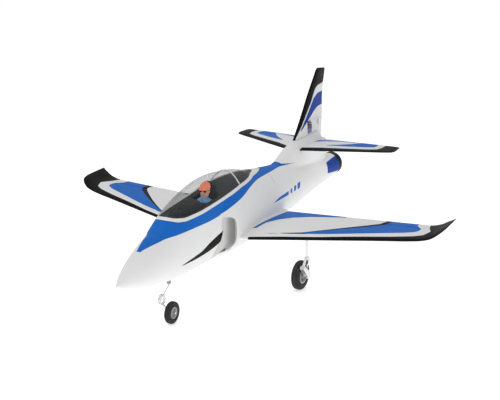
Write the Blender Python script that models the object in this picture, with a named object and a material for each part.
"""Foam electric ducted-fan sport jet, low wing with turned-up tips, fixed tricycle landing gear.

Frame: metres, +Z up, nose towards -Y, left wing towards +X, wheels standing on z = 0.
"""

import math

import bmesh
import bpy
import numpy as np
from mathutils import Matrix, Vector

MM = 0.001

# Driving dimensions, in millimetres.
GAP = 0.35                      # clearance between neighbouring pieces
FLAT_ANGLE = 0.9                # faces meeting at less than this are one flat face, in degrees
WALL = 8.0                      # foam wall of the fuselage
WALL_TAIL = 4.2                 # foam wall at the tail pipe
NOSE_Y = -530.0
TAIL_Y = 530.0
FAN_Y = 152.0                   # front face of the fan housing
FAN_Z = 178.0
FAN_RADIUS = 32.0               # 64 mm fan
NOZZLE_Z = 171.0
NOZZLE_RADIUS = 26.0
SPAR_Y = 10.0
SPAR_Z = 154.5
SPAR_RADIUS = 4.0
SPAR_REACH = 160.0
WING_ROOT_X = 74.4
MAIN_WHEEL = Vector((154.0, 18.0, 35.0))
MAIN_TYRE_RADIUS = 35.0
MAIN_TYRE_WIDTH = 21.0
LEG_X = 172.0
LINK_PIVOT = Vector((LEG_X, -6.0, 62.0))
SHOCK_TOP = Vector((LEG_X, 16.0, 74.0))
SHOCK_FOOT = Vector((LEG_X, 17.0, 47.0))
NOSE_WHEEL = Vector((0.0, -314.0, 25.4))
NOSE_TYRE_RADIUS = 25.4
NOSE_TYRE_WIDTH = 15.0
STEER_Y = -325.0
WIRE_RADIUS = 1.2
COIL_RADIUS = 10.6
COIL_CENTRE = Vector((-4.0, -348.0, 67.0))
WELL_FLOOR = 240.9              # floor under the pilot figure
HORN_ARM = 11.0                 # lever of every horn and servo arm
LEVER_END = 2.2                 # how far a lever runs on past its rod
HULL_CELLS = 24                 # corners round the nose and the trunk
PIN_RADIUS = 1.3
PIN_HALF = Vector((4.0, 0.0, 0.0))
PIN_BORE = 1.65

# Fuselage sections: y, lowest z, highest z, half width, z of the widest point,
# and the superellipse powers of the upper and the lower half.
NOSE_STATIONS = (
    (-530, 153, 159, 2.5, 156, 2.0, 2.0),
    (-520, 147, 166, 8, 156, 2.0, 2.0),
    (-490, 137, 186, 19.5, 157, 1.95, 2.0),
    (-450, 126.5, 204, 31, 160, 1.95, 2.1),
    (-400, 118, 219, 42, 165, 2.0, 2.2),
    (-365, 114, 229, 47.5, 168, 2.05, 2.3),
    (-344, 113, 246, 49, 170, 2.0, 2.4),
    (-314, 112, 266, 50, 171, 2.0, 2.5),
    (-272, 111, 284, 51, 172, 2.0, 2.5),
    (-228, 110, 295, 52, 173, 2.0, 2.5),
    (-183, 109.5, 301, 53, 173, 2.0, 2.5),
    (-138, 109, 301, 54, 173, 2.0, 2.5),
    (-91, 109, 296, 54, 173, 2.0, 2.5),
    (-34, 109, 286, 51, 173, 2.0, 2.5),
    (0, 110, 274, 48, 173, 2.0, 2.5),
    (40, 114, 258, 42, 173, 2.0, 2.5),
)
TRUNK_STATIONS = (
    (-200, 116, 224, 46, 171, 2.6, 2.5),
    (-170, 112, 234, 60, 170, 3.0, 2.7),
    (-138, 110, 257, 66, 171, 2.5, 2.6),
    (-91, 109, 274, 67.5, 172, 2.2, 2.5),
    (-34, 108.5, 281, 67, 172, 1.95, 2.4),
    (31, 109, 270, 65.5, 173, 1.8, 2.3),
    (85, 111, 260, 63, 173, 1.8, 2.2),
    (140, 115, 252, 59, 174, 1.8, 2.1),
    (200, 120, 244, 55, 174, 1.8, 2.2),
    (280, 127, 233, 48, 174, 1.9, 2.1),
    (360, 133, 222, 42, 173, 1.9, 2.0),
    (440, 137.5, 209, 36, 172, 2.0, 2.0),
    (490, 139.5, 203, 32.5, 171, 2.0, 2.0),
    (530, 141, 201, 30, 171, 2.0, 2.0),
)
# Lower edge of the canopy hatch seen from the side: y, z.
SILL = ((-345, 247), (-330, 241.5), (-307, 239), (-244, 240.5), (-154, 247), (-67, 256.5), (20, 260),
        (96, 257.5))
# Dorsal fairing that carries the fin and the tailplane: z, front y, rear y, half width.
FAIRING_STATIONS = (
    (200, 150, 455, 20),
    (232, 163, 460, 27),
    (250, 195, 458, 25.5),
    (264, 232, 450, 24),
    (274, 258, 440, 17),
    (283, 287, 428, 9),
)
# Intake duct sections: y, centre x, centre z, half width, half height, superellipse power.
DUCT_STATIONS = (
    (-190, 55.5, 173, 5.5, 35, 4.0),
    (-150, 53.0, 173, 7.6, 36.5, 4.0),
    (-131, 50.8, 173.5, 9.8, 37, 4.0),
    (-60, 45.0, 179, 15, 34, 3.0),
    (20, 35.0, 190, 19, 27.5, 2.6),
    (90, 23.5, 184, 18, 28.5, 2.4),
    (138, 19.0, FAN_Z, 16.6, 30.0, 2.6),
)
# Wing stations: leading edge, trailing edge, thickness.
WING_STATIONS = (
    ((WING_ROOT_X, -118.3, 152.5), (WING_ROOT_X, 116.5, 153.5), 23.0),
    ((160, -82.5, 153.8), (160, 123.6, 155.3), 19.8),
    ((260, -41.0, 155.2), (260, 132.0, 157.3), 16.4),
    ((360, 0.6, 156.6), (360, 140.5, 159.4), 12.9),
    ((425, 27.6, 157.4), (425, 146.0, 161.0), 10.6),
    ((445, 36.5, 158.6), (440, 147.5, 163.3), 9.4),
    ((462, 43.0, 162.5), (455, 147.5, 168.5), 8.0),
    ((476, 51.0, 171.0), (468, 150.0, 175.5), 6.4),
    ((484, 62.0, 177.5), (479, 154.0, 180.5), 4.8),
    ((487, 82.0, 181.5), (485.5, 159.0, 184.0), 2.6),
)
TAILPLANE_STATIONS = (
    ((22.0, 283.0, 262.6), (22.0, 419.6, 262.6), 9.4),
    ((90.0, 324.5, 259.0), (90.0, 435.4, 259.0), 7.8),
    ((160.0, 367.3, 255.4), (160.0, 451.7, 255.4), 6.2),
    ((208.0, 396.6, 253.0), (208.0, 462.9, 253.0), 5.0),
    ((219.0, 405.0, 252.4), (216.0, 464.5, 252.4), 4.2),
    ((223.5, 416.0, 252.2), (220.5, 460.0, 252.2), 2.4),
)
FIN_STATIONS = (
    ((0, 289.4, 283.6), (0, 458.0, 283.6), 14.5),
    ((0, 324.0, 325.0), (0, 458.0, 325.0), 12.0),
    ((0, 372.0, 388.0), (0, 459.0, 384.0), 8.6),
    ((0, 409.0, 431.0), (0, 470.0, 428.0), 6.0),
    ((0, 417.0, 441.0), (0, 472.0, 436.0), 5.0),
    ((0, 425.0, 446.5), (0, 468.0, 440.5), 2.6),
)
# Pilot bust: y, z, half width, half depth.
PILOT_STATIONS = (
    (-166, 241.2, 19, 11),
    (-166, 244.5, 19.5, 11.5),
    (-165, 248, 15, 10),
    (-163.5, 250.5, 7.5, 7.5),
    (-163, 254, 6, 6.5),
    (-163, 257, 8, 9.5),
    (-162, 264, 10.4, 12),
    (-161.5, 272, 11.4, 12.8),
    (-161, 280, 10.6, 12.4),
    (-160.5, 285.5, 7, 8.5),
    (-160.5, 287.6, 2.5, 3),
)
AILERON_HINGE = (Vector((225, 99.5, 157.2)), Vector((422, 117.5, 160.3)))
AILERON_RADII = (4.1, 2.7)
ELEVATOR_HINGE = (Vector((24.8, 382.8, 262.5)), Vector((204.5, 443.2, 253.2)))
ELEVATOR_RADII = (3.0, 1.8)
RUDDER_HINGE = (Vector((0, 431.8, 262.5)), Vector((0, 428.0, 311.0)))
RUDDER_RADII = (3.4, 2.9)
FLAP_GAP = 0.8                  # between a flap's round nose and the surface it hangs on
AILERON_ARM_X = 236.0
ELEVATOR_ARM_X = -31.0
RUDDER_ARM_Z = 317.0
AILERON_SERVO_Y = 16.0
ELEVATOR_SERVO_Y = 316.0
ELEVATOR_SERVO_Z = 246.0
RUDDER_SERVO_Y = 366.0

MATERIALS = {
    "white_foam": ((0.88, 0.88, 0.87), 0.42, 0.0),
    "duct_plastic": ((0.62, 0.63, 0.62), 0.45, 0.0),
    "black_plastic": ((0.03, 0.03, 0.035), 0.5, 0.0),
    "white_plastic": ((0.9, 0.9, 0.9), 0.35, 0.0),
    "clear_canopy": ((0.55, 0.58, 0.6), 0.08, 0.0),
    "figure_vinyl": ((0.12, 0.32, 0.62), 0.6, 0.0),
    "servo_blue": ((0.03, 0.09, 0.45), 0.3, 0.0),
    "battery_wrap": ((0.1, 0.2, 0.55), 0.4, 0.0),
    "circuit_wrap": ((0.05, 0.05, 0.06), 0.4, 0.0),
    "motor_metal": ((0.5, 0.5, 0.52), 0.35, 1.0),
    "carbon_tube": ((0.04, 0.04, 0.045), 0.4, 0.0),
    "spring_steel": ((0.7, 0.7, 0.7), 0.25, 1.0),
    "leg_alloy": ((0.82, 0.82, 0.83), 0.3, 1.0),
    "tyre_foam": ((0.02, 0.02, 0.02), 0.85, 0.0),
    "hub_plastic": ((0.5, 0.5, 0.51), 0.45, 0.0),
}


# ---------------------------------------------------------------- helpers

def clear_scene():
    for existing in list(bpy.data.objects):
        bpy.data.objects.remove(existing, do_unlink=True)


def material(name):
    found = bpy.data.materials.get(name)
    if found:
        return found
    colour, roughness, metallic = MATERIALS[name]
    made = bpy.data.materials.new(name)
    made.use_nodes = True
    shader = made.node_tree.nodes["Principled BSDF"]
    shader.inputs["Base Color"].default_value = (*colour, 1.0)
    shader.inputs["Roughness"].default_value = roughness
    shader.inputs["Metallic"].default_value = metallic
    return made


def solid(name, points, faces, material_name="white_foam"):
    """An object from points in millimetres, with its face normals pointing out."""
    mesh = bpy.data.meshes.new(name)
    mesh.from_pydata([tuple(c * MM for c in p) for p in points], [], faces)
    bm = bmesh.new()
    bm.from_mesh(mesh)
    bmesh.ops.triangulate(bm, faces=bm.faces)
    bmesh.ops.recalc_face_normals(bm, faces=bm.faces)
    bm.to_mesh(mesh)
    bm.free()
    made = bpy.data.objects.new(name, mesh)
    made.data.materials.append(material(material_name))
    bpy.context.scene.collection.objects.link(made)
    return made


def loft(name, rings, material_name="white_foam"):
    """A closed skin through rings of equal point count, with a flat cap at each end."""
    count = len(rings[0])
    points = [p for ring in rings for p in ring]
    faces = [tuple(range(count)), tuple(range(len(points) - count, len(points)))]
    for row in range(len(rings) - 1):
        for k in range(count):
            a, b = row * count + k, row * count + (k + 1) % count
            faces.append((a, b, b + count, a + count))
    return solid(name, points, faces, material_name)


def pipe_loft(name, outer, inner, material_name):
    """A thin-walled duct: outer and inner rings joined at both open ends."""
    count = len(outer[0])
    rows = len(outer)
    points = [p for ring in outer for p in ring] + [p for ring in inner for p in ring]
    shift = rows * count
    faces = []
    for k in range(count):
        j = (k + 1) % count
        for row in range(rows - 1):
            a = row * count + k
            b = row * count + j
            faces.append((a, b, b + count, a + count))
            faces.append((shift + a, shift + a + count, shift + b + count, shift + b))
        last = (rows - 1) * count
        faces.append((k, shift + k, shift + j, j))
        faces.append((last + k, last + j, shift + last + j, shift + last + k))
    return solid(name, points, faces, material_name)


def prism(name, outline, axis, low, high, material_name="white_foam"):
    """An outline of two coordinates, extruded along axis 0, 1 or 2 from low to high."""
    rings = []
    for level in (low, high):
        ring = []
        for u, v in outline:
            point = [u, v]
            point.insert(axis, level)
            ring.append(tuple(point))
        rings.append(ring)
    return loft(name, rings, material_name)


def block(name, low, high, material_name="white_foam"):
    corners = [(low[0], low[1]), (high[0], low[1]), (high[0], high[1]), (low[0], high[1])]
    return prism(name, corners, 2, low[2], high[2], material_name)


def rod(name, start, end, radius, material_name="spring_steel", sides=16, end_radius=None):
    """A straight round bar, or a cone when end_radius is given."""
    start, end = Vector(start), Vector(end)
    along = (end - start).normalized()
    side = along.orthogonal().normalized()
    if abs(along.x) > 0.99:
        side = Vector((0, 0, 1))
    other = along.cross(side)
    rings = []
    for centre, r in ((start, radius), (end, radius if end_radius is None else end_radius)):
        turn = [2 * math.pi * k / sides for k in range(sides)]
        rings.append([tuple(centre + r * (side * math.cos(t) + other * math.sin(t))) for t in turn])
    return loft(name, rings, material_name)


def turned(name, profile, centre, axis, material_name, sides=32):
    """A body turned about an axis through centre: profile is (distance along, radius), both ends closed."""
    along = {0: Vector((1, 0, 0)), 1: Vector((0, 1, 0)), 2: Vector((0, 0, 1))}[axis]
    side = Vector((0, 0, 1)) if axis != 2 else Vector((1, 0, 0))
    other = along.cross(side)
    rings = []
    for k in range(sides):
        t = 2 * math.pi * k / sides
        spoke = side * math.cos(t) + other * math.sin(t)
        rings.append([tuple(Vector(centre) + along * d + spoke * r) for d, r in profile])
    count = len(profile)
    points = [p for ring in rings for p in ring]
    faces = []
    for k in range(sides):
        nxt = (k + 1) % sides
        for j in range(count):
            i = (j + 1) % count
            faces.append((k * count + j, nxt * count + j, nxt * count + i, k * count + i))
    return solid(name, points, faces, material_name)


def sweep(name, path, radius, material_name, sides=8):
    """A round bar along a path, with its section carried along without twisting."""
    path = [Vector(p) for p in path]
    tangents = []
    for k in range(len(path)):
        before, after = path[max(k - 1, 0)], path[min(k + 1, len(path) - 1)]
        tangents.append((after - before).normalized())
    side = tangents[0].orthogonal().normalized()
    rings = []
    for k, centre in enumerate(path):
        if k:
            side = tangents[k - 1].rotation_difference(tangents[k]) @ side
        side = (side - tangents[k] * side.dot(tangents[k])).normalized()
        other = tangents[k].cross(side)
        turn = [2 * math.pi * j / sides for j in range(sides)]
        rings.append([tuple(centre + radius * (side * math.cos(t) + other * math.sin(t))) for t in turn])
    return loft(name, rings, material_name)


def bake(target):
    """Replace the object's mesh by its evaluated mesh and drop its modifiers."""
    graph = bpy.context.evaluated_depsgraph_get()
    mesh = bpy.data.meshes.new_from_object(target.evaluated_get(graph))
    target.modifiers.clear()
    target.data = mesh


def combine(target, tools, operation):
    """Apply a Boolean with each tool in turn and remove the tools."""
    for tool in tools:
        change = target.modifiers.new(operation.lower(), "BOOLEAN")
        change.operation = operation
        change.solver = "EXACT"
        change.object = tool
        bake(target)
        bpy.data.objects.remove(tool, do_unlink=True)
    return target


def cut(target, *tools):
    return combine(target, tools, "DIFFERENCE")


def join(target, *tools):
    return combine(target, tools, "UNION")


def keep(target, *tools):
    return combine(target, tools, "INTERSECT")


def copy_of(source, name, material_name=None):
    made = bpy.data.objects.new(name, source.data.copy())
    if material_name:
        made.data.materials.clear()
        made.data.materials.append(material(material_name))
    bpy.context.scene.collection.objects.link(made)
    return made


def mirrored(source, name):
    """The right-hand twin of a left-hand piece."""
    made = copy_of(source, name)
    made.data.transform(Matrix.Scale(-1, 4, (1, 0, 0)) @ source.matrix_world)
    made.data.flip_normals()
    return made


def pivot_at(target, point):
    """Put the object's origin on its joint."""
    shift = Vector(point) * MM
    target.data.transform(Matrix.Translation(-shift))
    target.location = shift
    return target


def finish(target, material_name=None):
    """Merge stray points, shade and give the final material."""
    bm = bmesh.new()
    bm.from_mesh(target.data)
    bmesh.ops.remove_doubles(bm, verts=bm.verts, dist=0.00001)
    bmesh.ops.dissolve_degenerate(bm, edges=bm.edges, dist=0.00001)
    bmesh.ops.dissolve_limit(bm, angle_limit=math.radians(FLAT_ANGLE), verts=bm.verts, edges=bm.edges)
    bmesh.ops.triangulate(bm, faces=bm.faces)
    bmesh.ops.holes_fill(bm, edges=[edge for edge in bm.edges if edge.is_boundary], sides=4)
    bmesh.ops.recalc_face_normals(bm, faces=bm.faces)
    bm.to_mesh(target.data)
    bm.free()
    if material_name:
        target.data.materials.clear()
        target.data.materials.append(material(material_name))
    target.data.shade_smooth()
    target.data.set_sharp_from_angle(angle=math.radians(35))
    return target


def place(target, point, material_name):
    return pivot_at(finish(target, material_name), point)


# ---------------------------------------------------------------- curves

def smooth_rows(table, place):
    """A smooth reading of a table whose first column is the place."""
    rows = np.array(table, float)
    where = rows[:, 0]
    place = min(max(place, where[0]), where[-1])
    k = int(np.clip(np.searchsorted(where, place) - 1, 0, len(where) - 2))
    slopes = np.gradient(rows, where, axis=0)
    span = where[k + 1] - where[k]
    t = (place - where[k]) / span
    return ((2 * t**3 - 3 * t**2 + 1) * rows[k] + (t**3 - 2 * t**2 + t) * span * slopes[k]
            + (3 * t**2 - 2 * t**3) * rows[k + 1] + (t**3 - t**2) * span * slopes[k + 1])


def wall_at(y):
    """Foam wall thickness, thinning towards the tail pipe."""
    share = min(max((y - 260.0) / 200.0, 0.0), 1.0)
    return WALL + (WALL_TAIL - WALL) * share


def section(table, y, inset, count):
    """One ring of the fuselage, drawn in by inset."""
    _, low, high, half, wide, power_up, power_down = smooth_rows(table, y)
    ring = []
    for k in range(count):
        t = 2 * math.pi * (k + 0.5) / count
        c, s = math.cos(t), math.sin(t)
        power = power_up if s > 0 else power_down
        tall = (high - wide - inset) if s > 0 else (wide - low - inset)
        x = (half - inset) * math.copysign(abs(c) ** (2 / power), c)
        z = wide + tall * math.copysign(abs(s) ** (2 / power), s)
        ring.append((x, y, z))
    return ring


def stations(low, high, step):
    count = max(2, round((high - low) / step) + 1)
    return [low + (high - low) * k / (count - 1) for k in range(count)]


def hull(name, inset, low=NOSE_Y, high=TAIL_Y, count=HULL_CELLS, step=38.0):
    """The outer shape of nose and trunk together, drawn in by inset."""
    nose_rows = [section(NOSE_STATIONS, y, inset, count) for y in stations(max(low, NOSE_Y), 40.0, step)]
    trunk_rows = [section(TRUNK_STATIONS, y, inset, count) for y in stations(max(low, -196.0), high, step)]
    return join(loft(name, nose_rows), loft("trunk", trunk_rows))


def sill_prism(name, lift, rear_lift=None):
    """Everything above the hatch's lower edge, raised by lift."""
    rear_lift = lift if rear_lift is None else rear_lift
    points = []
    for k, (y, z) in enumerate(SILL):
        share = k / (len(SILL) - 1)
        points.append((y, z + lift + (rear_lift - lift) * share))
    outline = points + [(SILL[-1][0], 330), (SILL[0][0], 330)]
    return prism(name, outline, 0, -90, 90)


def lip_line(z):
    """How far forward the intake lip stands at height z."""
    return -131.0 - 52.0 * min((abs(z - 173.0) / 44.0), 1.02) ** 6


def lip_prism(name, shift):
    """Everything ahead of the intake lip, to either side of the nose."""
    heights = [126 + 5.2 * k for k in range(19)]
    edge = [(lip_line(z) + shift, z) for z in heights]
    return prism(name, edge + [(-260, 219.6), (-260, 126)], 0, -100, 100)


def oval(centre_x, y, centre_z, half_width, half_height, power, count=16):
    ring = []
    for k in range(count):
        t = 2 * math.pi * (k + 0.5) / count
        c, s = math.cos(t), math.sin(t)
        x = centre_x + half_width * math.copysign(abs(c) ** (2 / power), c)
        z = centre_z + half_height * math.copysign(abs(s) ** (2 / power), s)
        ring.append((x, y, z))
    return ring


def duct_rings(grow):
    rings = []
    for y in stations(DUCT_STATIONS[0][0], DUCT_STATIONS[-1][0], 38.0):
        _, cx, cz, a, b, power = smooth_rows(DUCT_STATIONS, y)
        rings.append(oval(cx, y, cz, a + grow, b + grow, power))
    return rings


def foil_half(share):
    """Half thickness of the section as a share of its thickness, at a share of its chord."""
    root = 1.4845 * math.sqrt(share) - 0.63 * share - 1.758 * share**2 + 1.4215 * share**3 - 0.5075 * share**4
    return root + 0.03 * share


def foil_ring(leading, trailing, thickness, normal, cells=7):
    """A closed aerofoil ring from its trailing edge over the top to the nose and back beneath."""
    leading, trailing = Vector(leading), Vector(trailing)
    shares = [(1 - math.cos(math.pi * k / cells)) / 2 for k in range(cells + 1)]
    chord = trailing - leading
    over = [leading + chord * s + normal * (thickness * foil_half(s)) for s in reversed(shares)]
    under = [leading + chord * s - normal * (thickness * foil_half(s)) for s in shares[1:]]
    return [tuple(p) for p in over + under]


def foil_rings(rows, cells):
    """Rings through wing stations, each square to the local run of the surface."""
    middles = [(Vector(a) + Vector(b)) / 2 for a, b, _ in rows]
    rings = []
    for k, (leading, trailing, thickness) in enumerate(rows):
        run = middles[min(k + 1, len(rows) - 1)] - middles[max(k - 1, 0)]
        chord = (Vector(trailing) - Vector(leading)).normalized()
        normal = run.normalized().cross(chord).normalized()
        if normal.z < 0 or (abs(normal.z) < 0.2 and normal.x < 0):
            normal = -normal
        rings.append(foil_ring(leading, trailing, thickness, normal, cells))
    return rings


def flap(name, hinge, radii, trailing, trailing_half, up, rows=5):
    """A control surface with a round nose on its hinge, tapering to its trailing edge."""
    rings = []
    for k in range(rows):
        share = k / (rows - 1)
        pin = hinge[0].lerp(hinge[1], share)
        edge = trailing[0].lerp(trailing[1], share)
        radius = radii[0] + (radii[1] - radii[0]) * share
        back = (edge - pin).normalized()
        ring = []
        for j in range(7):
            t = math.radians(100 + 160 * j / 6)
            ring.append(tuple(pin + radius * (back * math.cos(t) + up * math.sin(t))))
        ring.append(tuple(edge - up * trailing_half))
        ring.append(tuple(edge + up * trailing_half))
        rings.append(ring)
    return loft(name, rings)


def flap_slot(name, hinge, radii, reach, margin):
    """The room that a control surface needs in the panel that carries it."""
    run = hinge[1] - hinge[0]
    rings = []
    for pin, radius, over in ((hinge[0], radii[0], -margin), (hinge[1], radii[1], margin)):
        centre = pin + run * (over / run.x)
        front = centre.y - radius - FLAP_GAP
        back = centre.y + reach
        corners = ((front, -14), (back, -14), (back, 14), (front, 14))
        rings.append([(centre.x, y, centre.z + rise) for y, rise in corners])
    return loft(name, rings)


# ---------------------------------------------------------------- fuselage

def fairing():
    rings = []
    for z, front, rear, half in FAIRING_STATIONS:
        ring = []
        for k in range(20):
            t = 2 * math.pi * (k + 0.5) / 20
            c, s = math.cos(t), math.sin(t)
            power = 1.35 if s < 0 else 5.0
            middle = front + (rear - front) * 0.42
            reach = middle - front if s < 0 else rear - middle
            y = middle + reach * math.copysign(abs(s) ** (2 / power), s)
            ring.append((half * math.copysign(abs(c) ** (2 / max(power, 2.2)), c), y, z))
        rings.append(ring)
    return loft("fairing", rings)


def wing_stub(side):
    """The fuselage's wing root fillet, ending in the flat face that the wing panel meets."""
    leading, trailing, thickness = WING_STATIONS[0]
    rows = []
    for x, spread in ((52.0, 7.0), (66.0, 4.0), (WING_ROOT_X - 0.6, 0.5)):
        fore = Vector((side * x, leading[1] - spread, leading[2]))
        aft = Vector((side * x, trailing[1] + spread, trailing[2]))
        rows.append((fore, aft, thickness + spread))
    rings = [foil_ring(fore, aft, thick, Vector((0, 0, 1))) for fore, aft, thick in rows]
    return loft("stub", rings)


def cavity():
    """The hollow inside the fuselage: battery bay, duct room and tail pipe."""
    count = 16
    bay = [section(NOSE_STATIONS, y, 7.0, count) for y in stations(-468.0, -126.0, 45.0)]
    trunk = [section(TRUNK_STATIONS, y, wall_at(y), count) for y in stations(-130.0, TAIL_Y - 8.5, 50.0)]
    radius = NOZZLE_RADIUS + 1.8
    pipe_rings = [oval(0, y, NOZZLE_Z, radius, radius, 2.0, 20) for y in (450.0, 540.0)]
    return join(loft("bay", bay), loft("room", trunk), loft("outlet", pipe_rings))


def servo_pocket(low, high, clearance=GAP):
    low = [c - clearance for c in low]
    high = [c + clearance for c in high]
    return block("pocket", low, high)


def build_fuselage():
    shell = hull("fuselage", 0.0)
    front = loft("front", [section(NOSE_STATIONS, y, 0.0, HULL_CELLS) for y in stations(-300.0, -100.0, 40.0)])
    cut(shell, cut(lip_prism("ahead", 0.0), front))
    join(shell, fairing(), wing_stub(1), wing_stub(-1))
    tail_trim = block("trim", (-60, TAIL_Y - 8.0, 100), (60, TAIL_Y + 20, 240))
    hollow = cavity()
    cut(shell, tail_trim, hollow)
    cut(shell, sill_prism("hatch", 0.0))
    for side in (1, -1):
        rings = duct_rings(1.1 + GAP)
        rings = [[(x, y - 2, z) for x, y, z in rings[0]]] + rings + [[(x, y + 2, z) for x, y, z in rings[-1]]]
        cut(shell, loft("envelope", [[(side * x, y, z) for x, y, z in ring] for ring in rings]))
    spar = rod("spar_hole", (-90, SPAR_Y, SPAR_Z), (90, SPAR_Y, SPAR_Z), SPAR_RADIUS + 0.4)
    rudder_room = block("rudder_room", (-30, 425.6, 258.5), (30, 475, 300))
    tail_seats = [block("seat", (s * 30 - 8.7, 270, 255.5), (s * 30 + 8.7, 470, 269.5)) for s in (1, -1)]
    gear_room = block("gear_room", (-4.4, STEER_Y - 4.4, 100), (4.4, STEER_Y + 4.4, 140))
    cut(shell, spar, rudder_room, *tail_seats, gear_room)
    cut(shell, servo_pocket(*elevator_servo_box()))
    fin_foot = block("fin_foot", (-20, 270, 283.2), (20, 470, 300))
    cut(shell, fin_foot)
    for side, name in ((1, "fuselage_left"), (-1, "fuselage_right")):
        half = copy_of(shell, name)
        away = -side
        edge = sorted((side * 0.15, away * 120))
        cut(half, block("half", (edge[0], -560, 60), (edge[1], 560, 340)))
        finish(half, "white_foam")
    bpy.data.objects.remove(shell, do_unlink=True)


def build_ducts():
    outer = duct_rings(1.1)
    inner = duct_rings(0.0)
    duct = pipe_loft("intake_duct_left", outer, inner, "duct_plastic")
    front = loft("front", [section(NOSE_STATIONS, y, 0.4, HULL_CELLS) for y in stations(-300.0, -100.0, 40.0)])
    cut(duct, cut(lip_prism("ahead", 2.0), front))
    finish(duct, "duct_plastic")
    finish(mirrored(duct, "intake_duct_right"), "duct_plastic")


def build_fan():
    """Housing with stator vanes and motor cup, rotor, motor and tail pipe."""
    centre = (0, 0, FAN_Z)
    front, rear = FAN_Y, FAN_Y + 62
    inside, outside = FAN_RADIUS + 0.3, FAN_RADIUS + 2.0
    ring = [(front, inside), (rear, inside), (rear, outside), (front, outside)]
    housing = turned("fan_housing", ring, centre, 1, "black_plastic", 28)
    cup = [(front + 34, 14.4), (rear, 14.4), (rear, 15.8), (front + 34, 15.8)]
    join(housing, turned("cup", cup, centre, 1, "black_plastic", 18))
    for k in range(5):
        turn = 2 * math.pi * (k + 0.5) / 5
        lean = 0.16
        vane = []
        for y, swing in ((front + 36, turn - lean / 2), (rear - 4, turn + lean / 2)):
            out = Vector((math.cos(swing), 0, math.sin(swing)))
            flat = Vector((-math.sin(swing), 0, math.cos(swing))) * 0.7
            hub, tip = out * 15.2, out * (FAN_RADIUS + 1.0)
            base = Vector((0, y, FAN_Z))
            vane.append([base + hub + flat, base + tip + flat, base + tip - flat, base + hub - flat])
        join(housing, loft("vane", vane))
    finish(housing, "black_plastic")

    motor = rod("fan_motor", (0, front + 33, FAN_Z), (0, rear + 2, FAN_Z), 13.9, "motor_metal", 18)
    join(motor, rod("shaft", (0, front + 12, FAN_Z), (0, front + 34, FAN_Z), 1.5, "motor_metal", 12))
    finish(motor, "motor_metal")

    spinner = ((-12, 1.2), (-8, 6.0), (-1, 10.6), (6, 13.2), (14, 14.2), (31, 14.2))
    rotor = loft("fan_rotor", [oval(0, front + ahead, FAN_Z, r, r, 2.0, 18) for ahead, r in spinner])
    cut(rotor, rod("bore", (0, front + 10, FAN_Z), (0, front + 40, FAN_Z), 1.85, sides=12))
    for k in range(7):
        turn = 2 * math.pi * k / 7 + 0.1
        blade = []
        for radius, pitch, chord in ((13.0, 0.95, 17.0), (22.0, 0.72, 16.0), (30.6, 0.52, 15.0)):
            out = Vector((math.cos(turn), 0, math.sin(turn)))
            flat = Vector((-math.sin(turn), 0, math.cos(turn)))
            along = Vector((0, math.sin(pitch), 0)) + flat * math.cos(pitch)
            skin = along.cross(out).normalized() * 0.6
            mid = Vector((0, front + 21, FAN_Z)) + out * radius
            half = along * chord / 2
            blade.append([mid - half, mid + skin, mid + half, mid - skin])
        join(rotor, loft("blade", blade))
    finish(rotor, "black_plastic")
    pivot_at(rotor, (0, front + 21, FAN_Z))

    start = rear + GAP
    pipe_rows = [(start + (522 - start) * k / 3) for k in range(4)]
    outer, inner = [], []
    for y in pipe_rows:
        share = (y - start) / (522 - start)
        z = FAN_Z + (NOZZLE_Z - FAN_Z) * share
        radius = FAN_RADIUS + 1.6 + (NOZZLE_RADIUS - FAN_RADIUS - 1.6) * share**0.8
        outer.append(oval(0, y, z, radius, radius, 2.0, 20))
        inner.append(oval(0, y, z, radius - 1.0, radius - 1.0, 2.0, 20))
    finish(pipe_loft("thrust_tube", outer, inner, "duct_plastic"), "duct_plastic")

    rear_face = TAIL_Y
    lip = [(523, NOZZLE_RADIUS + 0.2), (rear_face, NOZZLE_RADIUS + 0.2), (rear_face, 30.0), (523, 30.2)]
    finish(turned("exhaust_ring", lip, (0, 0, NOZZLE_Z), 1, "black_plastic", 28), "black_plastic")


def build_equipment():
    """Battery, speed controller, receiver and steering servo inside the fuselage."""
    finish(block("battery", (-17.5, -282, 122.5), (17.5, -176, 148.5), "battery_wrap"))
    finish(block("esc", (-13, -120, 122.5), (13, -66, 133), "circuit_wrap"))
    finish(block("receiver", (-11, -44, 122.5), (11, -6, 136), "circuit_wrap"))
    servo = block("steering_servo", (-6, -398, 131), (6, -374, 153), "servo_blue")
    arm = block("arm", (-1, -383, 154.5), (17, -377, 156.5))
    join(servo, rod("spindle", (0, -380, 152), (0, -380, 157), 3.0), arm)
    finish(servo, "servo_blue")


# ---------------------------------------------------------------- canopy

def shell_above(name, outside, inside, lower, upper=None):
    """The skin between two insets of the hull, above one sill line and below another."""
    span = (-360.0, 110.0)
    piece = hull(name, outside, *span, count=28, step=32.0)
    cut(piece, hull("inside", inside, *span, count=28, step=32.0))
    keep(piece, lower)
    if upper:
        cut(piece, upper)
    return piece


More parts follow.
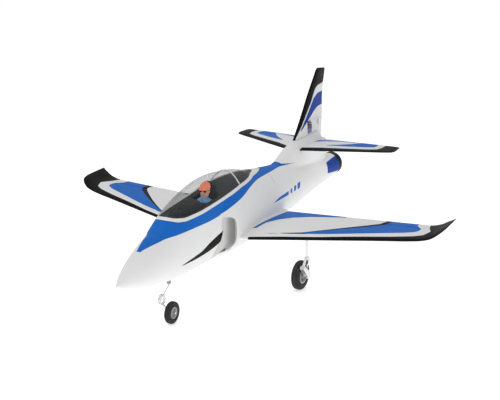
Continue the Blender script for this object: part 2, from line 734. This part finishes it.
def build_canopy():
    frame = shell_above("canopy_frame", 0.0, 4.0, sill_prism("low", 0.4), sill_prism("high", 7.6, 5.4))
    hoop = shell_above("hoop", 1.9, 4.6, sill_prism("low", 3.0))
    slab = [(-71.0, 240), (-67.6, 240), (-61.2, 310), (-64.6, 310)]
    keep(hoop, prism("slab", slab, 0, -90, 90))
    join(frame, hoop)
    finish(frame, "white_plastic")
    glass = shell_above("canopy_glass", 0.0, 1.5, sill_prism("low", 7.9, 5.7))
    finish(glass, "clear_canopy")

    tub = hull("cockpit_tub", 5.2, -352.0, 40.0, count=20, step=60.0)
    keep(tub, sill_prism("low", 0.4))
    cut(tub, sill_prism("high", 5.0), block("rear", (-60, 30, 200), (60, 140, 330)))
    join(tub, block("well", (-27, -216, WELL_FLOOR - 2.5), (27, -131, 249)))
    cut(tub, block("footwell", (-24.5, -213.5, WELL_FLOOR), (24.5, -133.5, 300)))
    finish(tub, "black_plastic")

    bust = loft("pilot_figure", [level_oval(*row) for row in PILOT_STATIONS])
    finish(bust, "figure_vinyl")


def level_oval(y, z, half_width, half_depth, count=12):
    turn = [2 * math.pi * k / count for k in range(count)]
    return [(half_width * math.cos(t), y + half_depth * math.sin(t), z) for t in turn]


# ---------------------------------------------------------------- wings and tail

UP = Vector((0, 0, 1))
SIDE = Vector((1, 0, 0))


def horn_slit(pin):
    """The slit in a flap's underside that its horn stands in."""
    return block("slit", (pin.x - 1.15, pin.y - 4.5, pin.z - 12), (pin.x + 1.15, pin.y + 8.4, pin.z - 1.9))


def trimmed_horn(name, pin):
    """A horn hanging below a flap's hinge, its rod hole one lever arm down."""
    low = pin.z - HORN_ARM
    top = pin.z - 2.3
    foot = low - LEVER_END
    outline = [(pin.y - 1.4, top), (pin.y + 7.6, top), (pin.y + 2.4, foot), (pin.y - 2.4, foot)]
    return prism(name, outline, 0, pin.x - 0.8, pin.x + 0.8, "black_plastic")


def servo_arm(name, shaft, x, drop, spindle_to):
    """An arm on a servo's output shaft that turns about X."""
    tip = shaft.z + drop * (HORN_ARM + LEVER_END)
    crown = shaft.z - drop * 2.6
    outline = [(shaft.y - 3.0, shaft.z), (shaft.y - 1.8, tip), (shaft.y + 1.8, tip), (shaft.y + 3.0, shaft.z),
               (shaft.y + 1.6, crown), (shaft.y - 1.6, crown)]
    arm = prism(name, outline, 0, x - 0.8, x + 0.8, "black_plastic")
    if abs(spindle_to - x) > 1.0:
        join(arm, rod("spindle", (x, shaft.y, shaft.z), (spindle_to, shaft.y, shaft.z), 2.0, sides=12))
    return arm


def pushrod(name, start, end):
    return rod(name, start, end, 0.6, "spring_steel", 8)


def aileron_places():
    span = AILERON_HINGE[1].x - AILERON_HINGE[0].x
    pin = AILERON_HINGE[0].lerp(AILERON_HINGE[1], (AILERON_ARM_X - AILERON_HINGE[0].x) / span)
    shaft = Vector((AILERON_ARM_X, AILERON_SERVO_Y, 150.0))
    return pin, shaft


def build_wing():
    panel = loft("wing_left", foil_rings(WING_STATIONS, 10))
    cut(panel, flap_slot("slot", AILERON_HINGE, AILERON_RADII, 60.0, 1.0))
    cut(panel, rod("bore", (60, SPAR_Y, SPAR_Z), (SPAR_REACH + 1, SPAR_Y, SPAR_Z), SPAR_RADIUS + 0.4))
    _, shaft = aileron_places()
    servo_low = (AILERON_ARM_X + 3.0, shaft.y - 6.5, 144.6)
    servo_high = (AILERON_ARM_X + 27.0, shaft.y + 17.0, 155.6)
    arm_side = AILERON_ARM_X - 3.4
    cut(panel, servo_pocket((arm_side, servo_low[1] - 1, 130), (servo_high[0], servo_high[1] + 1, servo_high[2])))
    flange_room = block("flange_room", (LEG_X - 17.4, 2.6, 130), (LEG_X + 17.4, 25.4, 150.0))
    cut(panel, flange_room, rod("leg_room", (LEG_X, 14, 120), (LEG_X, 14, 160.6), 4.2))
    finish(panel, "white_foam")
    finish(mirrored(panel, "wing_right"), "white_foam")

    servo = block("aileron_servo_left", servo_low, servo_high, "servo_blue")
    finish(servo, "servo_blue")
    finish(mirrored(servo, "aileron_servo_right"), "servo_blue")

    wall = [(-SPAR_REACH, 2.8), (SPAR_REACH, 2.8), (SPAR_REACH, SPAR_RADIUS), (-SPAR_REACH, SPAR_RADIUS)]
    tube = turned("wing_spar", wall, (0, SPAR_Y, SPAR_Z), 0, "carbon_tube", 16)
    finish(tube, "carbon_tube")


def build_ailerons():
    """Left aileron, horn, servo arm and pushrod, then their right-hand twins."""
    trailing = (Vector((225, 129.0, 156.7)), Vector((422, 145.8, 160.9)))
    pin, shaft = aileron_places()
    surface = flap("aileron_left", AILERON_HINGE, AILERON_RADII, trailing, 0.5, UP)
    cut(surface, horn_slit(pin))
    horn = trimmed_horn("aileron_horn_left", pin)
    arm = servo_arm("aileron_arm_left", shaft, AILERON_ARM_X, -1, AILERON_ARM_X + 2.6)
    offset = Vector((-2.2, 0, -HORN_ARM))
    link = pushrod("aileron_pushrod_left", shaft + offset, pin + offset)
    pieces = ((surface, pin, "white_foam"), (horn, pin, "black_plastic"), (arm, shaft, "black_plastic"),
              (link, shaft + offset, "spring_steel"))
    for piece, point, slot in pieces:
        twin = mirrored(piece, piece.name.replace("left", "right"))
        place(twin, (-point.x, point.y, point.z), slot)
        place(piece, point, slot)


def elevator_servo_box():
    low = (ELEVATOR_ARM_X + 3.4, ELEVATOR_SERVO_Y - 6.5, ELEVATOR_SERVO_Z - 6.0)
    high = (ELEVATOR_ARM_X + 26.0, ELEVATOR_SERVO_Y + 17.0, ELEVATOR_SERVO_Z + 6.0)
    return low, high


def build_tail():
    panel = loft("tailplane_left", foil_rings(TAILPLANE_STATIONS, 8))
    cut(panel, flap_slot("slot", ELEVATOR_HINGE, ELEVATOR_RADII, 60.0, 1.0))
    finish(panel, "white_foam")
    finish(mirrored(panel, "tailplane_right"), "white_foam")

    fin = loft("fin", foil_rings(FIN_STATIONS, 8))
    pin_low, pin_high = RUDDER_HINGE
    back = Vector((0, 1, 0))
    lean = (pin_high - pin_low) / (pin_high.z - pin_low.z)
    slot_rings = []
    for z in (270.0, 311.9):
        pin = pin_low + lean * (z - pin_low.z)
        front = pin - back * (RUDDER_RADII[0] + FLAP_GAP)
        slot_rings.append([(-12, front.y, z), (12, front.y, z), (12, 490, z), (-12, 490, z)])
    cut(fin, loft("slot", slot_rings))
    servo_low = (-5.0, RUDDER_SERVO_Y - 6.5, 286.5)
    servo_high = (7.4, RUDDER_SERVO_Y + 17.0, 309.0)
    cut(fin, servo_pocket(servo_low, (20, servo_high[1], servo_high[2])))
    cut(fin, block("arm_room", (-5.0, RUDDER_SERVO_Y - 8, 309.0), (20, RUDDER_SERVO_Y + 12, 320.0)))
    finish(fin, "white_foam")
    servo = block("rudder_servo", servo_low, servo_high, "servo_blue")
    finish(servo, "servo_blue")


def build_rudder():
    """Rudder, its horn, and the servo arm and pushrod that move it."""
    trailing = (Vector((0, 455.0, 262.5)), Vector((0, 457.6, 311.0)))
    rudder = flap("rudder", RUDDER_HINGE, RUDDER_RADII, trailing, 0.6, SIDE, rows=3)
    pin = RUDDER_HINGE[1]
    shaft = Vector((1.2, RUDDER_SERVO_Y, RUDDER_ARM_Z))
    flat = (RUDDER_ARM_Z - 1.5, RUDDER_ARM_Z)

    horn = block("rudder_horn", (3.7, pin.y - 0.6, 298.0), (5.3, pin.y + 8.0, 309.0))
    riser = block("riser", (5.0, pin.y - 1.8, 300.0), (6.6, pin.y + 1.8, flat[1]))
    lever = block("lever", (5.0, pin.y - 1.8, flat[0]), (HORN_ARM + LEVER_END, pin.y + 1.8, flat[1]))
    join(horn, riser, lever)

    arm = rod("rudder_arm", (shaft.x, shaft.y, 309.4), (shaft.x, shaft.y, flat[1]), 2.4, "black_plastic", 12)
    tip = shaft.x + HORN_ARM + LEVER_END
    outline = [(shaft.x, shaft.y - 2.6), (tip, shaft.y - 1.8), (tip, shaft.y + 1.8), (shaft.x, shaft.y + 2.6)]
    join(arm, prism("lever", outline, 2, *flat))
    lift = Vector((HORN_ARM, 0, 1.4))
    link = pushrod("rudder_pushrod", shaft + lift, Vector((pin.x, pin.y, RUDDER_ARM_Z)) + lift)
    place(rudder, pin, "white_foam")
    place(horn, pin, "black_plastic")
    place(arm, shaft, "black_plastic")
    place(link, shaft + lift, "spring_steel")


def build_elevators():
    trailing = (Vector((24.8, 419.9, 262.4)), Vector((204.5, 461.8, 253.2)))
    left = flap("elevator_left", ELEVATOR_HINGE, ELEVATOR_RADII, trailing, 0.45, UP)
    right = mirrored(left, "elevator_right")
    share = (-ELEVATOR_ARM_X - ELEVATOR_HINGE[0].x) / (ELEVATOR_HINGE[1].x - ELEVATOR_HINGE[0].x)
    pin = ELEVATOR_HINGE[0].lerp(ELEVATOR_HINGE[1], share)
    pin.x = ELEVATOR_ARM_X
    cut(right, horn_slit(pin))
    horn = trimmed_horn("elevator_horn", pin)
    shaft = Vector((ELEVATOR_ARM_X, ELEVATOR_SERVO_Y, ELEVATOR_SERVO_Z))
    arm = servo_arm("elevator_arm", shaft, ELEVATOR_ARM_X, -1, ELEVATOR_ARM_X + 3.0)
    offset = Vector((-3.0, 0, -HORN_ARM))
    link = pushrod("elevator_pushrod", shaft + offset, pin + offset)
    servo = block("elevator_servo", *elevator_servo_box(), "servo_blue")
    finish(servo, "servo_blue")
    first = ELEVATOR_HINGE[0]
    place(left, first, "white_foam")
    place(right, (-first.x, first.y, first.z), "white_foam")
    place(horn, pin, "black_plastic")
    place(arm, shaft, "black_plastic")
    place(link, shaft + offset, "spring_steel")


# ---------------------------------------------------------------- landing gear

def tyre(name, centre, radius, width, inner):
    """A moulded foam tyre: a superellipse turned about the axle."""
    profile = []
    for k in range(10):
        t = 2 * math.pi * (k + 0.5) / 10
        c, s = math.cos(t), math.sin(t)
        across = width / 2 * math.copysign(abs(c) ** 0.75, c)
        middle, tall = (radius + inner) / 2, (radius - inner) / 2
        profile.append((across, middle + tall * math.copysign(abs(s) ** 0.75, s)))
    peak = max(r for _, r in profile)
    profile = [(d, r * radius / peak if r > (radius + inner) / 2 else max(r, inner)) for d, r in profile]
    return turned(name, profile, centre, 0, "tyre_foam", 24)


def hub(name, centre, radius, half_width, bore):
    web = half_width * 0.35
    side = [(half_width, bore), (half_width, 4.6), (web, 5.2), (web, radius - 4.6), (half_width, radius - 2.2),
            (half_width, radius)]
    profile = side + [(-d, r) for d, r in reversed(side)]
    return turned(name, profile, centre, 0, "hub_plastic", 20)


def eye(name, centre, radius, half_width):
    centre = Vector(centre)
    reach = Vector((half_width, 0, 0))
    return rod(name, centre - reach, centre + reach, radius, sides=10)


def cross_bore(centre, radius):
    return eye("bore", centre, radius, 8.0)


def build_main_gear():
    """Left leg, trailing link, shock absorber and wheel, then their right-hand twins."""
    x = LEG_X
    leg = rod("main_leg_left", (x, 14, 81), (x, 14, 160), 3.7, "leg_alloy", 16)
    join(leg, block("flange", (x - 17, 3, 147.2), (x + 17, 25, 149.6)))
    join(leg, block("yoke", (x - 5.2, 9.5, 78), (x + 5.2, 20.5, 84.5)))
    for low in (x - 5.2, x + 2.6):
        join(leg, block("cheek", (low, 12, 70.5), (low + 2.6, 20, 79)))
    join(leg, rod("pin", SHOCK_TOP - PIN_HALF, SHOCK_TOP + PIN_HALF, PIN_RADIUS, sides=8))
    pivot = LINK_PIVOT
    knuckle = [(13.5, 79.5), (10, 84), (pivot.y - 2.6, pivot.z + 3.4), (pivot.y - 4, pivot.z),
               (pivot.y - 2.4, pivot.z - 3.2), (pivot.y + 2.6, pivot.z - 2.6)]
    join(leg, prism("knuckle", knuckle, 0, x - 1.8, x + 1.8))
    cut(leg, cross_bore(pivot, 1.75))

    axle = Vector((x, MAIN_WHEEL.y, MAIN_WHEEL.z))
    cheek = [(-10, 62.5), (-7, 66), (-3, 65.5), (13.6, 50), (15.2, 50.9), (19, 50.6), (22.5, 41), (23.5, 34),
             (20.5, 29.6), (15, 29.6), (12.4, 33), (-9.3, 58.5)]
    link = prism("main_link_left", cheek, 0, x - 5.4, x - 2.6)
    other_cheek = prism("cheek", cheek, 0, x + 2.6, x + 5.4)
    axle_block = block("axle_block", (x - 5.0, 12.8, 30), (x + 5.0, 22.8, 40.8))
    join(link, axle_block, other_cheek)
    for place_of_pin in (pivot, SHOCK_FOOT):
        join(link, rod("pin", place_of_pin - PIN_HALF, place_of_pin + PIN_HALF, PIN_RADIUS, sides=8))
    join(link, rod("axle", axle - PIN_HALF, (140.8, axle.y, axle.z), 1.5, sides=12))
    join(link, rod("collar", (140.6, axle.y, axle.z), (143.0, axle.y, axle.z), 3.2, sides=12))

    run = (SHOCK_FOOT - SHOCK_TOP).normalized()
    body = eye("shock_body_left", SHOCK_TOP, 3.1, 1.6)
    join(body, rod("neck", SHOCK_TOP, SHOCK_TOP + run * 6.0, 1.5, sides=8))
    join(body, rod("tube", SHOCK_TOP + run * 4.8, SHOCK_TOP + run * 15.5, 2.6, sides=10))
    hollow = rod("bore", SHOCK_TOP + run * 5.6, SHOCK_TOP + run * 20, 1.7, sides=10)
    cut(body, cross_bore(SHOCK_TOP, PIN_BORE), hollow)
    foot = eye("shock_rod_left", SHOCK_FOOT, 3.0, 1.6)
    join(foot, rod("stem", SHOCK_FOOT - run * 1.0, SHOCK_FOOT - run * 16.2, 1.15, sides=8))
    join(foot, rod("seat", SHOCK_FOOT - run * 4.0, SHOCK_FOOT - run * 5.4, 2.6, sides=10))
    cut(foot, cross_bore(SHOCK_FOOT, PIN_BORE))

    wheel_tyre = tyre("main_tyre_left", MAIN_WHEEL, MAIN_TYRE_RADIUS, MAIN_TYRE_WIDTH, 20.0)
    wheel_hub = hub("main_hub_left", MAIN_WHEEL, 19.6, 8.6, 1.9)
    pieces = ((leg, pivot, "leg_alloy"), (link, pivot, "leg_alloy"), (body, SHOCK_TOP, "black_plastic"),
              (foot, SHOCK_FOOT, "spring_steel"), (wheel_tyre, MAIN_WHEEL, "tyre_foam"),
              (wheel_hub, MAIN_WHEEL, "hub_plastic"))
    for piece, point, slot in pieces:
        twin = mirrored(piece, piece.name.replace("left", "right"))
        place(twin, (-point.x, point.y, point.z), slot)
        place(piece, point, slot)


def nose_wire_path():
    """The sprung wire: down from the block, around the coil and on to the axle."""
    kink = Vector((0, STEER_Y, 93.0))
    to_coil = COIL_CENTRE - kink
    reach = math.hypot(to_coil.y, to_coil.z)
    heading = math.atan2(to_coil.z, to_coil.y) - math.asin(COIL_RADIUS / reach)
    enter = heading - math.pi / 2
    to_axle = NOSE_WHEEL - COIL_CENTRE
    reach = math.hypot(to_axle.y, to_axle.z)
    leave = math.atan2(to_axle.z, to_axle.y) - math.acos(COIL_RADIUS / reach)
    sweep_angle = (leave - enter) % (2 * math.pi) + 4 * math.pi
    path = [(0, STEER_Y, 138), (0, STEER_Y, 95.5), (0, STEER_Y - 0.5, 93.8)]
    cells = 30
    for k in range(cells + 1):
        share = k / cells
        t = enter + sweep_angle * share
        round_y = COIL_CENTRE.y + COIL_RADIUS * math.cos(t)
        round_z = COIL_CENTRE.z + COIL_RADIUS * math.sin(t)
        path.append((-8.0 * share, round_y, round_z))
    side = -10.4
    path += [(-9.6, -323.5, 37.2), (side, -317.2, 29.4), (side + 0.3, -314.8, 26.2)]
    path += [(side + 2.4, NOSE_WHEEL.y, NOSE_WHEEL.z), (9.8, NOSE_WHEEL.y, NOSE_WHEEL.z)]
    return path


def build_nose_gear():
    mount = block("nose_gear_block", (-4, STEER_Y - 4, 97), (4, STEER_Y + 4, 124.6), "duct_plastic")
    join(mount, block("flange", (-12, STEER_Y - 12, 121.2), (12, STEER_Y + 12, 123.6)))
    cut(mount, rod("bore", (0, STEER_Y, 90), (0, STEER_Y, 130), 1.6, sides=12))
    finish(mount, "duct_plastic")

    leg = sweep("nose_leg", nose_wire_path(), WIRE_RADIUS, "spring_steel", 6)
    join(leg, rod("stop", (0, STEER_Y, 93.6), (0, STEER_Y, 96.6), 3.0, sides=12))
    axle_y, axle_z = NOSE_WHEEL.y, NOSE_WHEEL.z
    join(leg, rod("keeper", (7.3, axle_y, axle_z), (9.7, axle_y, axle_z), 2.6, sides=12))
    join(leg, rod("boss", (0, STEER_Y, 125.2), (0, STEER_Y, 131), 3.4, sides=14))
    join(leg, block("tiller", (1, STEER_Y - 2, 127.6), (15, STEER_Y + 2, 129.6)))
    place(leg, (0, STEER_Y, 96.6), "spring_steel")

    place(tyre("nose_tyre", NOSE_WHEEL, NOSE_TYRE_RADIUS, NOSE_TYRE_WIDTH, 13.6), NOSE_WHEEL, "tyre_foam")
    place(hub("nose_hub", NOSE_WHEEL, 13.2, 6.2, 1.6), NOSE_WHEEL, "hub_plastic")


# ---------------------------------------------------------------- assembly

def main():
    clear_scene()
    build_fuselage()
    build_ducts()
    build_fan()
    build_equipment()
    build_canopy()
    build_wing()
    build_ailerons()
    build_tail()
    build_elevators()
    build_rudder()
    build_main_gear()
    build_nose_gear()


main()
